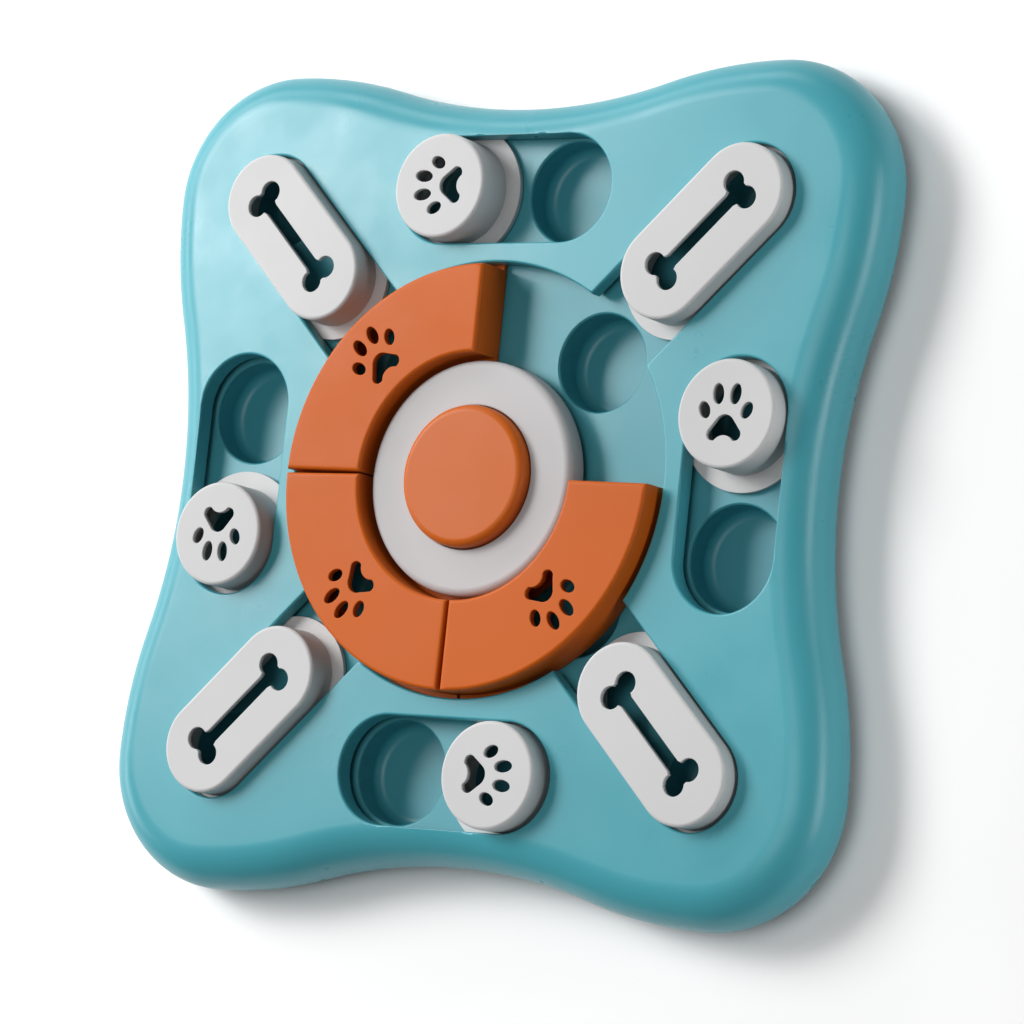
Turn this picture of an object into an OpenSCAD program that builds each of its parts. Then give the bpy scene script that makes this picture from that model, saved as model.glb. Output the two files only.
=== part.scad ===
// Sliding-treat puzzle feeder for dogs: a two-piece moulded board with
// eight slotted sliders, three ring covers and a squeaking centre button.
// Millimetres, lying flat, feet on z = 0, the long view of the board is +Z.

/* [Board] */
// Height of the flat face above the floor
face_z = 24; // [20:0.5:36]
// Gap that the feet leave under the shell
foot_drop = 3; // [2:0.5:6]
// From a slot's outer edge to the middle of the board's side
side_margin = 10.55; // [9.5:0.05:30]
// Side radius and flank radius added together
side_reach = 317.5; // [300:1.25:340]
// Radius of the flanks between side and corner lobe
flank_r = 140; // [100:2.5:160]
// Radius of the rolled edge above the widest line
crown_r = 13; // [8:0.5:16]
// Radius of the edge below the widest line
under_r = 14; // [10:0.5:20]
// Wall thickness of the cover
cover_wall = 2.4; // [1.6:0.1:3.5]
// Chamfer on the edges of the slots and channels
edge_chamfer = 0.7; // [0.2:0.1:1.2]
// Chamfer on the edge of the round opening
ring_chamfer = 1; // [0.3:0.1:1.6]

/* [Tray] */
// Depth of the ring floor below the face
ring_drop = 7; // [5:0.5:12]
// Depth of the slot floors below the face
slot_drop = 8.3; // [6:0.1:12]
// Wall thickness of the tray
tray_wall = 2; // [1.2:0.1:3]
// Gap between the tray's edge and the cover's skirt
tray_fit = 0.25; // [0.1:0.05:0.6]
// Rounding at the bottom of the treat cups
cup_fillet = 3; // [0:0.5:5]
// Rib height under the deck
rib_h = 8; // [4:0.5:12]
// Rib thickness
rib_t = 1.6; // [1:0.1:3]
// Distance of the rib ends from the sides
rib_in = 7; // [6:0.5:20]
// Distance of the round rib from the round opening
rib_off = 3.6; // [2:0.1:6]

/* [Slots and paw sliders] */
// Web between the round opening and a slot
ring_web = 6.05; // [4:0.05:20]
// Half length of a slot between its end centres
slot_end = 21.3; // [15:0.1:30]
// Radius of the paw caps
paw_r = 16.3; // [12:0.1:20]
// Gap between a paw cap and its slot
slot_play = 0.45; // [0.3:0.05:1]
// Way that a resting paw cap can still go outward
paw_back = 1.4; // [0:0.1:10]
// Paw cap top above the face
paw_rise = 6.5; // [4:0.5:12]
// Overhang of the guide plate at a paw cap's ends
guide_end = 5.2; // [3:0.1:8]
// Overhang of that guide plate at its flats
guide_side = 2.9; // [1.5:0.1:5]
// Cup centre along a slot
slot_cup_at = 20.6; // [17:0.1:24]
// Ledge between a slot's side and the cups in it
slot_cup_in = 0.65; // [0.2:0.05:4]

/* [Channels and bone sliders] */
// Gap between a resting bone cap and the round opening
bone_rest = 7; // [6:0.1:20]
// Distance between the end centres of a bone cap
bone_len = 33.4; // [25:0.1:45]
// Radius of a bone cap's ends
bone_r = 14.7; // [10:0.1:18]
// Gap between a bone cap and its channel
channel_play = 0.6; // [0.3:0.05:1.2]
// Bone cap top above the face
bone_rise = 5.8; // [4:0.1:12]
// Overhang of the guide plate round a bone cap
bone_guide = 4.3; // [2:0.1:6]
// End centre of a channel past that of the resting bone cap
channel_more = 0.5; // [0.2:0.1:3]
// Radius of the cup under a bone's outer end
bone_cup_r = 12.5; // [8:0.1:14]

/* [Ring covers] */
// Radius of the round opening in the cover
opening_r = 66.9; // [55:0.1:80]
// Gap between the ring covers and the wall of the opening
arc_play = 1.6; // [0.6:0.1:3]
// Gap between the ring covers and the hub
hub_gap = 1.75; // [0.6:0.05:3]
// Ring cover top above the face
arc_rise = 6.9; // [4:0.1:12]
// Angle that one ring cover spans
arc_span = 88.9; // [60:0.1:90]
// Angle at which the first ring cover starts
arc_start = 90.3; // [0:0.1:360]
// Angle left between neighbouring ring covers
arc_gap = 1; // [0.4:0.1:10]
// Angle that each outer tongue of a ring cover's runner spans
tongue_span = 22; // [12:1:26]
// How far those tongues reach past the cover
tongue_over = 2.8; // [2:0.1:4]
// Gap between the inner tongue and the foot of the hub
tongue_gap = 0.5; // [0.2:0.1:2]
// Ledge between the hub and a ring cup
ring_cup_gap = 1.15; // [0.5:0.05:6]
// How far a ring cup reaches under the edge of the opening
ring_cup_tuck = 0.6; // [0:0.1:2]

/* [Hub and button] */
// Radius of the hub disc
hub_r = 36.15; // [30:0.05:45]
// Hub top above the face
hub_rise = 2.85; // [1:0.05:6]
// Undercut of the hub over the covers' inner tongues
hub_under = 4.65; // [3:0.05:6]
// Radius of the squeak button
button_r = 21.8; // [15:0.1:28]
// Button top above the face
button_rise = 7.2; // [4:0.1:12]
// Gap round the button
button_play = 0.3; // [0.2:0.05:0.6]
// Thickness of the button's top
button_roof = 2.2; // [1.4:0.1:3]
// Stroke of the button
button_stroke = 3.2; // [1:0.1:4]

/* [Guides and walls] */
// Thickness of guide plates and tongues
guide_t = 1.6; // [1:0.1:2.5]
// Running gap above and below guide plates
run_gap = 0.35; // [0.2:0.05:0.6]
// Wall of the moulded caps
cap_wall = 1.9; // [1.2:0.1:3]
// Rounding of the cap edges
cap_round = 1.5; // [0.5:0.1:3]
// Radius of the rubber feet
foot_r = 9; // [6:0.5:14]
// Depth of the feet's recesses
foot_recess = 1.6; // [0.8:0.1:3]
// Radius of the feet's pegs
peg_r = 3.6; // [2:0.1:5]
// Height of the pegs above the shell's underside
peg_h = 7.2; // [4:0.1:9]
// Distance of the feet from the board's left and right sides
foot_in = 13; // [12:0.5:30]
// Gap between a foot's seat and the slot pocket beside it
foot_gap = 5.6; // [1:0.1:20]
// Outer radius of the screw bosses
boss_r = 4; // [3:0.1:6]
// Thread radius of the screws
screw_r = 1.4; // [1:0.1:2]
// Head radius of the screws
screw_head_r = 2.8; // [2:0.1:4]
// Head height of the screws
screw_head_h = 1.8; // [1:0.1:3]
// Depth of the screw heads' seats below the deck
screw_seat = 4; // [2:0.5:6]
// Length of the screws above the deck
screw_bite = 4; // [2:0.5:5]
// Gap between a bone's guide plate and the corner screw's boss
corner_screw_gap = 5.5; // [1:0.1:8]
// Gap between a slot pocket and the boss beside it
side_screw_gap = 4.62785; // [3:0.00005:8]
// How far that boss lies outside the slot's middle line
side_screw_out = 7.3315; // [0:0.0005:10]

/* [Hidden] */
$fn = 72;
TEAL = [0.40, 0.70, 0.74];
WHITE = [0.90, 0.90, 0.89];
ORANGE = [0.86, 0.44, 0.20];
GREY = [0.25, 0.27, 0.29];
STEEL = [0.72, 0.73, 0.75];

wide_z = face_z - crown_r;
deck_z = face_z - ring_drop;
slot_z = face_z - slot_drop;
lip_gap = guide_t + 2 * run_gap;
ring_lip_z = deck_z + lip_gap;
slot_lip_z = slot_z + lip_gap;
cup_z = foot_drop + tray_wall;
plate_z = face_z - cover_wall;
slot_half = paw_r + slot_play;
slot_at = opening_r + ring_web + slot_half;
side_half = slot_at + slot_half + side_margin;
slot_cup_r = slot_half - slot_cup_in;
channel_half = bone_r + channel_play;
bone_in = opening_r + bone_rest + bone_r;
bone_out = bone_in + bone_len;
channel_end = bone_out + channel_more;
arc_out = opening_r - arc_play;
arc_in = hub_r + hub_gap;
arc_step = arc_span + arc_gap;
hub_foot_r = hub_r - hub_under;
tongue_in = hub_foot_r + tongue_gap;
tongue_out = arc_out + tongue_over;
ring_cup_r = (opening_r + ring_cup_tuck - hub_r - ring_cup_gap) / 2;
ring_cup_at = hub_r + ring_cup_gap + ring_cup_r;
under_drop = wide_z - foot_drop;
skirt_in = under_r - sqrt(pow(under_r - cover_wall, 2) - pow(under_drop, 2));
tray_in = skirt_in + tray_fit;
guide_r = paw_r + guide_end;
guide_flat = paw_r + guide_side;
paw_reach = slot_end + slot_play - run_gap;
paw_rest = paw_reach - paw_back;
pocket_len = paw_reach + guide_r + 0.5;
pocket_half = guide_flat + 0.4;
bone_guide_r = bone_r + bone_guide;
foot_x = side_half - foot_in;
foot_y = pocket_len + foot_gap + tray_wall + foot_r;
rib_start = button_r + 0.2;
rib_end = side_half - rib_in;
rib_ring_r = opening_r + rib_off;
print_end = bone_len / 2 + 0.5;
corner_screw = bone_out + bone_guide_r + corner_screw_gap + boss_r;
side_screw_x = pocket_len + side_screw_gap + boss_r;
side_screw_y = slot_at + side_screw_out;
side_screw = norm([side_screw_x, side_screw_y]);
side_turn = atan2(side_screw_y, side_screw_x);
screw_spots = [[corner_screw, 45], [corner_screw, 135], [corner_screw, 225], [corner_screw, 315],
               [side_screw, side_turn], [side_screw, 180 - side_turn],
               [side_screw, 180 + side_turn], [side_screw, 360 - side_turn]];
hub_screw_r = (hub_foot_r + button_r + button_play + 2) / 2;
hub_turn = 30;
collar_r = button_r + 2;
collar_z = deck_z + button_stroke + 0.4;

// Outline of one quarter: a hollow side circle, a flank circle and a corner circle.
// Side and flank meet on a 24-7-25 line, so every centre is a plain decimal.
side_r = side_reach - flank_r;
side_at = side_half + side_r;
corner_at = 0.28 * side_reach;
widest = side_half + 0.04 * side_reach;
corner_r = widest - corner_at;
flank_x = widest - flank_r;
side_wedge = [[flank_x, -corner_at], [side_at, 0], [flank_x, corner_at]];
flank_wedge = [[flank_x, corner_at], [side_at, 0], [flank_x + side_reach, corner_at]];

// Which node is drawn

// ---- flat shapes ----

// The board's plan, pulled in by e
module plan(e) {
    for (k = [0:3]) {
        rotate(90 * k) {
            difference() {
                polygon(side_wedge);
                translate([side_at, 0]) circle(side_r + e);
            }
            for (s = [0, 1]) {
                mirror([0, s]) intersection() {
                    translate([flank_x, corner_at]) circle(flank_r - e);
                    polygon(flank_wedge);
                }
            }
            intersection() {
                translate([corner_at, corner_at]) circle(corner_r - e);
                translate([corner_at, corner_at]) square(corner_r);
            }
        }
    }
}

// A bar with round ends, from x = a to x = b
module bar(a, b, r) {
    translate([a, 0]) circle(r);
    translate([b, 0]) circle(r);
    translate([a, -r]) square([b - a, 2 * r]);
}

// A toe: two touching circles joined by straight sides
module toe(w, h) {
    r = w / 2;
    translate([0, (h - w) / 2]) circle(r);
    translate([0, -(h - w) / 2]) circle(r);
    square([w, h - w], center = true);
}

// Paw print, toes toward +Y
module paw_print() {
    for (s = [-1, 1]) {
        translate([s * 2.9, 5.7]) rotate(-6 * s) toe(3.5, 6);
        translate([s * 7.1, 0.9]) rotate(-24 * s) toe(3.5, 5);
    }
    difference() {
        union() {
            translate([0, -3.5]) circle(3.1);
            for (s = [-1, 1]) translate([s * 3.9, -6.3]) circle(1.8);
            polygon([[-2.6, -1.8], [2.6, -1.8], [5.4, -5.3], [3.9, -8.1], [-3.9, -8.1], [-5.4, -5.3]]);
        }
        translate([0, -10.4]) circle(3.9);
    }
}

// Bone outline along X, centred
module bone_print() {
    square([2 * print_end - 1.4, 4.4], center = true);
    for (s = [-1, 1], t = [-1, 1]) translate([s * print_end, t * 3]) circle(3.3);
}

// ---- rolled edge ----

// Section of the body about a convex centre: radius r, shell offset off, from z0 up
module rim(r, off, z0) {
    translate([0, z0]) square([r - crown_r, face_z - off - z0]);
    intersection() {
        translate([r - crown_r, wide_z]) circle(crown_r - off);
        translate([r - crown_r, wide_z]) square(crown_r);
    }
    translate([0, z0]) square([r - under_r, wide_z - z0]);
    intersection() {
        translate([r - under_r, wide_z]) circle(under_r - off);
        translate([r - under_r, z0]) square([under_r, wide_z - z0]);
    }
}

// What a hollow side takes away, about the side centre
module hollow(off, z0) {
    w = under_r + 2;
    difference() {
        translate([0, z0 - 1]) square([side_r + w, face_z - z0 + 2]);
        translate([side_r + crown_r, wide_z]) square([w, crown_r - off]);
        intersection() {
            translate([side_r + crown_r, wide_z]) circle(crown_r - off);
            translate([side_r, wide_z]) square(crown_r);
        }
        translate([side_r + under_r, z0 - 2]) square([w, wide_z - z0 + 2]);
        intersection() {
            translate([side_r + under_r, wide_z]) circle(under_r - off);
            translate([side_r, z0 - 2]) square([under_r, wide_z - z0 + 2]);
        }
    }
}

// Solid board with the rolled edge, shell offset off, from z0 up
module blank(off, z0) {
    for (k = [0:3]) {
        rotate(90 * k) {
            difference() {
                translate([0, 0, z0]) linear_extrude(face_z - off - z0) polygon(side_wedge);
                translate([side_at, 0, 0]) rotate_extrude($fn = 180) hollow(off, z0);
            }
            for (s = [0, 1]) {
                mirror([0, s, 0]) intersection() {
                    translate([flank_x, corner_at, 0]) rotate_extrude($fn = 180) rim(flank_r, off, z0);
                    translate([0, 0, z0 - 1]) linear_extrude(face_z + 2 - z0) polygon(flank_wedge);
                }
            }
            translate([corner_at, corner_at, 0]) rotate_extrude(angle = 90) rim(corner_r, off, z0);
        }
    }
}

// ---- repeated solids ----

module on_slots() {
    for (k = [0:3]) rotate(90 * k) translate([0, slot_at, 0]) children();
}

module on_diagonals() {
    for (k = [0:3]) rotate(45 + 90 * k) children();
}

module slot_prism(r, z0, z1) {
    translate([0, 0, z0]) linear_extrude(z1 - z0) bar(-slot_end, slot_end, r);
}

// Through cut of a slot with a chamfered top edge
module slot_cut() {
    slot_prism(slot_half, deck_z - 2, face_z + 1);
    for (s = [-1, 1]) {
        translate([s * slot_end, 0, face_z - edge_chamfer])
            cylinder(r1 = slot_half, r2 = slot_half + edge_chamfer + 0.5, h = edge_chamfer + 0.5);
    }
    rotate([90, 0, 90]) translate([0, 0, -slot_end]) linear_extrude(2 * slot_end)
        polygon([[-slot_half, face_z - edge_chamfer], [slot_half, face_z - edge_chamfer],
                 [slot_half + edge_chamfer + 0.5, face_z + 0.5],
                 [-slot_half - edge_chamfer - 0.5, face_z + 0.5]]);
}

// Through cut of a channel, from the opening out to its round end
module channel_cut() {
    translate([0, 0, deck_z - 2]) linear_extrude(face_z + 3 - deck_z)
        bar(opening_r - 10, channel_end, channel_half);
    translate([channel_end, 0, face_z - edge_chamfer])
        cylinder(r1 = channel_half, r2 = channel_half + edge_chamfer + 0.5, h = edge_chamfer + 0.5);
    rotate([90, 0, 90]) translate([0, 0, opening_r - 10]) linear_extrude(channel_end + 10 - opening_r)
        polygon([[-channel_half, face_z - edge_chamfer], [channel_half, face_z - edge_chamfer],
                 [channel_half + edge_chamfer + 0.5, face_z + 0.5],
                 [-channel_half - edge_chamfer - 0.5, face_z + 0.5]]);
}

// Round opening of the ring, with a chamfered top edge
module opening_cut() {
    rotate_extrude() polygon([[0, deck_z - 2], [opening_r, deck_z - 2],
                              [opening_r, face_z - ring_chamfer],
                              [opening_r + ring_chamfer + 0.5, face_z + 0.5], [0, face_z + 0.5]]);
}

// A treat cup hanging under a floor at z_top: wall, bottom and an inside fillet
module cup(r, z_top) {
    z_rim = z_top - tray_wall;
    rotate_extrude() difference() {
        translate([0, foot_drop]) square([r + tray_wall, z_rim - foot_drop]);
        translate([0, cup_z]) square([r - cup_fillet, z_rim]);
        translate([0, cup_z + cup_fillet]) square([r, z_rim]);
        translate([r - cup_fillet, cup_z + cup_fillet]) circle(cup_fillet);
    }
}

// Hole in a floor at z_top over a cup, with a broken top edge
module cup_mouth(r, z_top) {
    rotate_extrude() polygon([[0, z_top - tray_wall - 1], [r, z_top - tray_wall - 1],
                              [r, z_top - 0.5], [r + 1, z_top + 0.5], [0, z_top + 0.5]]);
}

// Room that a cup takes below the deck
module cup_room(r) {
    translate([0, 0, foot_drop - 1]) cylinder(r = r + tray_wall, h = ring_drop + deck_z);
}

// Places of the treat cups: eight in the slots, four in the ring, four at the bones
module at_cups() {
    on_slots() for (s = [-1, 1]) translate([s * slot_cup_at, 0, 0]) children(0);
    on_diagonals() translate([ring_cup_at, 0, 0]) children(1);
    on_diagonals() translate([channel_end, 0, 0]) children(2);
}

module at_screws() {
    for (p = screw_spots) rotate(p[1]) translate([p[0], 0, 0]) children();
}

module at_hub_screws() {
    for (k = [0:2]) rotate(120 * k + hub_turn) translate([hub_screw_r, 0, 0]) children();
}

// ---- housing ----

module top_cover() {
    color(TEAL) difference() {
        union() {
            difference() {
                blank(0, foot_drop);
                blank(cover_wall, foot_drop - 1);
            }
            on_slots() slot_prism(slot_half + tray_wall, slot_lip_z, plate_z + 0.5);
            translate([0, 0, ring_lip_z]) linear_extrude(plate_z + 0.5 - ring_lip_z) {
                circle(opening_r + tray_wall);
                for (k = [0:3]) rotate(45 + 90 * k)
                    bar(opening_r - 10, channel_end, channel_half + tray_wall);
            }
            at_screws() translate([0, 0, deck_z]) cylinder(r = boss_r, h = plate_z + 0.5 - deck_z);
        }
        on_slots() slot_cut();
        on_diagonals() channel_cut();
        opening_cut();
        at_screws() translate([0, 0, deck_z - 1]) cylinder(r = screw_r, h = screw_bite + 1.5);
    }
}

// Floor of the board with its wall, slot pockets, squeaker well, ribs, bosses and foot seats
module lower_tray() {
    color(TEAL) difference() {
        union() {
            translate([0, 0, deck_z - tray_wall]) linear_extrude(tray_wall) plan(tray_in);
            // wall just inside the cover's skirt
            translate([0, 0, foot_drop]) linear_extrude(deck_z - foot_drop - 1) difference() {
                plan(tray_in);
                plan(tray_in + tray_wall);
            }
            // pads under the slot pockets
            on_slots() translate([-pocket_len, -pocket_half, slot_z - tray_wall])
                cube([2 * pocket_len, 2 * pocket_half, tray_wall + 0.5]);
            tray_ribs();
            // squeaker well
            translate([0, 0, foot_drop]) cylinder(r = button_r - 1.2 + tray_wall, h = deck_z - foot_drop - 1);
            // screw bosses and foot seats
            at_screws() translate([0, 0, foot_drop]) cylinder(r = boss_r, h = deck_z - foot_drop - 1);
            at_hub_screws() translate([0, 0, foot_drop]) cylinder(r = boss_r, h = deck_z - foot_drop - 1);
            at_feet() translate([0, 0, foot_drop])
                cylinder(r = foot_r + tray_wall, h = deck_z - foot_drop - 1);
        }
        // slot pockets that the paw guides run in
        on_slots() translate([-pocket_len, -pocket_half, slot_z])
            cube([2 * pocket_len, 2 * pocket_half, ring_drop]);
        at_cups() {
            cup_mouth(slot_cup_r, slot_z);
            cup_mouth(ring_cup_r, deck_z);
            cup_mouth(bone_cup_r, deck_z);
        }
        translate([0, 0, cup_z]) cylinder(r = button_r - 1.2, h = deck_z);
        for (k = [0:5]) {
            rotate(60 * k) translate([3.2, 0, foot_drop - 1]) cylinder(r = 1.1, h = tray_wall + 3);
        }
        at_screws() screw_room(deck_z);
        at_hub_screws() screw_room(deck_z);
        at_feet() {
            translate([0, 0, foot_drop - 1]) cylinder(r = foot_r, h = foot_recess + 1);
            translate([0, 0, foot_drop - 1]) cylinder(r = peg_r, h = deck_z - foot_drop - 2);
        }
    }
}

// Ribs under the deck, twelve straight and one round, broken by the cups
module tray_ribs() {
    difference() {
        union() {
            for (a = [0:30:330]) {
                rotate(a + 15) translate([rib_start, -rib_t / 2, deck_z - rib_h])
                    cube([rib_end - rib_start, rib_t, rib_h - 1]);
            }
            translate([0, 0, deck_z - rib_h]) difference() {
                cylinder(r = rib_ring_r + rib_t / 2, h = rib_h - 1);
                translate([0, 0, -1]) cylinder(r = rib_ring_r - rib_t / 2, h = rib_h + 1);
            }
        }
        at_cups() {
            cup_room(slot_cup_r);
            cup_room(ring_cup_r);
            cup_room(bone_cup_r);
        }
    }
}

module cups_slot(k) {
    color(TEAL) rotate(-90 * k) for (s = [-1, 1]) {
        translate([s * slot_cup_at, slot_at, 0]) cup(slot_cup_r, slot_z);
    }
}

module cup_ring(k) {
    color(TEAL) rotate(45 + 90 * k) translate([ring_cup_at, 0, 0]) cup(ring_cup_r, deck_z);
}

module cup_bone(k) {
    color(TEAL) rotate(45 + 90 * k) translate([channel_end, 0, 0]) cup(bone_cup_r, deck_z);
}

module screw_room(z_top) {
    translate([0, 0, foot_drop - 1]) cylinder(r = screw_head_r, h = z_top - foot_drop + 1 - screw_seat);
    translate([0, 0, foot_drop]) cylinder(r = screw_r, h = z_top);
}

module at_feet() {
    for (sx = [-1, 1], sy = [-1, 1]) translate([sx * foot_x, sy * foot_y, 0]) children();
}

module foot() {
    color(GREY) rotate_extrude() {
        translate([0, 0.8]) square([foot_r, foot_drop + foot_recess - 0.8]);
        square([foot_r - 0.8, 2]);
        translate([foot_r - 0.8, 0.8]) circle(0.8);
        square([peg_r, foot_drop + peg_h]);
    }
}

module screw(z_seat, z_tip) {
    translate([0, 0, z_seat]) cylinder(r = screw_r, h = z_tip - z_seat);
    difference() {
        translate([0, 0, z_seat - screw_head_h]) cylinder(r = screw_head_r, h = screw_head_h);
        for (a = [0, 90]) {
            rotate(a) translate([-1.6, -0.35, z_seat - screw_head_h - 0.2]) cube([3.2, 0.7, 1.2]);
        }
    }
}

module body_screws() {
    color(STEEL) at_screws() screw(deck_z - screw_seat, deck_z + screw_bite);
}

module hub_screws() {
    color(STEEL) at_hub_screws() screw(deck_z - screw_seat, deck_z + screw_bite);
}

// ---- paw sliders ----

module paw_place(k) {
    rotate(-90 * k) translate([-paw_rest, slot_at, 0]) children();
}

module paw_cap() {
    z0 = slot_z + run_gap + guide_t;
    z1 = face_z + paw_rise;
    color(WHITE) difference() {
        rotate_extrude() {
            translate([0, z0]) square([paw_r, z1 - z0 - cap_round]);
            translate([0, z1 - cap_round - 1]) square([paw_r - cap_round, cap_round + 1]);
            translate([paw_r - cap_round, z1 - cap_round]) circle(cap_round);
        }
        translate([0, 0, z0 - 1]) cylinder(r = paw_r - cap_wall, h = z1 - z0 - 1);
        translate([0, 0, z1 - 4]) rotate(90) linear_extrude(6) paw_print();
    }
}

module paw_guide() {
    z0 = slot_z + run_gap;
    ring = paw_r - cap_wall;
    color(WHITE) difference() {
        union() {
            intersection() {
                translate([0, 0, z0]) cylinder(r = guide_r, h = guide_t);
                translate([-guide_r, -guide_flat, z0 - 1]) cube([2 * guide_r, 2 * guide_flat, 4]);
            }
            translate([0, 0, z0]) cylinder(r = ring, h = guide_t + 2.2);
        }
        translate([0, 0, z0 - 1]) cylinder(r = ring - 1.4, h = 8);
    }
}

// ---- bone sliders ----

module bone_place(k) {
    rotate(45 + 90 * k) children();
}

module bone_cap() {
    z0 = deck_z + run_gap + guide_t;
    z1 = face_z + bone_rise;
    mid = (bone_in + bone_out) / 2;
    color(WHITE) difference() {
        union() {
            translate([0, 0, z0]) linear_extrude(z1 - z0 - cap_round) bar(bone_in, bone_out, bone_r);
            translate([0, 0, z0]) linear_extrude(z1 - z0) bar(bone_in, bone_out, bone_r - cap_round);
            for (x = [bone_in, bone_out]) {
                translate([x, 0, z1 - cap_round]) rotate_extrude()
                    translate([bone_r - cap_round, 0]) circle(cap_round);
            }
            for (s = [-1, 1]) {
                translate([bone_in, s * (bone_r - cap_round), z1 - cap_round]) rotate([0, 90, 0])
                    cylinder(r = cap_round, h = bone_out - bone_in);
            }
        }
        translate([0, 0, z0 - 1]) linear_extrude(z1 - z0 - 1) bar(bone_in, bone_out, bone_r - cap_wall);
        translate([mid, 0, z1 - 4]) linear_extrude(6) bone_print();
    }
}

module bone_guide_plate() {
    z0 = deck_z + run_gap;
    ring = bone_r - cap_wall;
    color(WHITE) difference() {
        union() {
            translate([0, 0, z0]) linear_extrude(guide_t) bar(bone_in, bone_out, bone_guide_r);
            translate([0, 0, z0]) linear_extrude(guide_t + 2.2) bar(bone_in, bone_out, ring);
        }
        translate([0, 0, z0 - 1]) linear_extrude(8) bar(bone_in, bone_out, ring - 1.4);
    }
}

// ---- ring covers ----

module arc_place(k) {
    rotate(arc_start + arc_step * k) children();
}

module arc_cover() {
    z0 = deck_z + run_gap + guide_t;
    z1 = face_z + arc_rise;
    w = cap_wall;
    mid_r = (arc_out + arc_in) / 2;
    color(ORANGE) difference() {
        rotate_extrude(angle = arc_span) {
            translate([arc_in, z0]) square([arc_out - arc_in, z1 - z0 - cap_round]);
            translate([arc_in + cap_round, z0]) square([arc_out - arc_in - 2 * cap_round, z1 - z0]);
            translate([arc_in + cap_round, z1 - cap_round]) circle(cap_round);
            translate([arc_out - cap_round, z1 - cap_round]) circle(cap_round);
        }
        // hollow underside, with walls left at both ends
        difference() {
            rotate_extrude(angle = arc_span)
                translate([arc_in + w, z0 - 1]) square([arc_out - arc_in - 2 * w, z1 - z0 - 1.2]);
            translate([0, -1, z0 - 2]) cube([arc_out + 5, 1 + w, 30]);
            rotate(arc_span) translate([0, -w, z0 - 2]) cube([arc_out + 5, 1 + w, 30]);
        }
        rotate(arc_span / 2) translate([mid_r, 0, z1 - 4]) rotate(-90) linear_extrude(6) paw_print();
    }
}

// Runner under a ring cover: a frame with a tongue under the hub and two under the cover
module arc_runner() {
    z0 = deck_z + run_gap;
    w = cap_wall + 1.4;
    color(ORANGE) difference() {
        rotate_extrude(angle = arc_span)
            translate([tongue_in, z0]) square([tongue_out - tongue_in, guide_t]);
        // gap between the two outer tongues
        rotate(tongue_span) rotate_extrude(angle = arc_span - 2 * tongue_span)
            translate([arc_out, z0 - 1]) square([tongue_over + 3.2, 4]);
        // window
        difference() {
            rotate(-3) rotate_extrude(angle = arc_span + 6)
                translate([arc_in + w, z0 - 1]) square([arc_out - arc_in - 2 * w, 4]);
            translate([0, w - 12, z0 - 2]) cube([arc_out + 5, 12, 8]);
            rotate(arc_span) translate([0, -w, z0 - 2]) cube([arc_out + 5, 12, 8]);
        }
    }
}

// ---- hub, button and squeaker ----

module hub_disc() {
    z1 = face_z + hub_rise;
    bore = button_r + button_play;
    lip_z = collar_z + guide_t + 0.4;
    edge = 2.6;
    color(WHITE) difference() {
        rotate_extrude() difference() {
            union() {
                translate([0, deck_z]) square([hub_foot_r, z1 - deck_z]);
                translate([0, ring_lip_z]) square([hub_r, z1 - edge - ring_lip_z]);
                translate([0, ring_lip_z]) square([hub_r - edge, z1 - ring_lip_z]);
                translate([hub_r - edge, z1 - edge]) circle(edge);
            }
            translate([0, deck_z - 1]) square([bore, z1]);
            translate([0, deck_z - 1]) square([collar_r + 0.4, lip_z - deck_z + 1]);
            translate([hub_foot_r, deck_z]) square([hub_r - hub_foot_r - 2, z1 - deck_z - 2.4]);
        }
        // three pockets between the screws
        for (k = [0:2]) rotate(120 * k + hub_turn + 17) rotate_extrude(angle = 86)
            translate([collar_r + 2, deck_z - 1]) square([hub_foot_r - collar_r - 3.6, z1 - deck_z - 1.6]);
        at_hub_screws() translate([0, 0, deck_z - 1]) cylinder(r = screw_r, h = screw_bite + 2);
    }
}

module squeak_button() {
    z1 = face_z + button_rise;
    z0 = collar_z + guide_t;
    r = 2;
    color(ORANGE) rotate_extrude() difference() {
        union() {
            translate([0, z0]) square([button_r, z1 - z0 - r]);
            translate([0, z0]) square([button_r - r, z1 - z0]);
            translate([button_r - r, z1 - r]) circle(r);
        }
        translate([0, z0 - 1]) square([button_r - 2, z1 - z0 + 1 - button_roof]);
    }
}

// Ring snapped under the button; the hub's lip stops it
module button_collar() {
    color(ORANGE) rotate_extrude() difference() {
        union() {
            translate([0, collar_z]) square([collar_r, guide_t]);
            translate([0, collar_z]) square([button_r - 2, guide_t + 2]);
        }
        translate([0, collar_z - 1]) square([button_r - 3.6, 8]);
    }
}

// Soft bellows standing between the tray and the underside of the button
module squeak_bulb() {
    top = face_z + button_rise - button_roof;
    folds_z = cup_z + 1.4;
    pitch = (top - folds_z - 2.6) / 3;
    color(GREY) rotate_extrude() difference() {
        union() {
            translate([0, cup_z]) square([button_r - 2.4, 1.6]);
            translate([0, folds_z]) square([12, 3 * pitch]);
            translate([0, folds_z + 3 * pitch - 0.5]) square([11, top - folds_z - 3 * pitch + 0.5]);
            for (i = [0.5:2.5]) translate([12.6, folds_z + pitch * i]) circle(3);
        }
        for (i = [0.5:2.5]) {
            translate([0, folds_z + pitch * i - 1.7]) square([11.8, 3.4]);
            translate([12.2, folds_z + pitch * i]) circle(1.7);
        }
        translate([0, folds_z]) square([10, 3 * pitch - 1]);
        translate([0, cup_z - 1]) square([6, 5]);
    }
}

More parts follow.
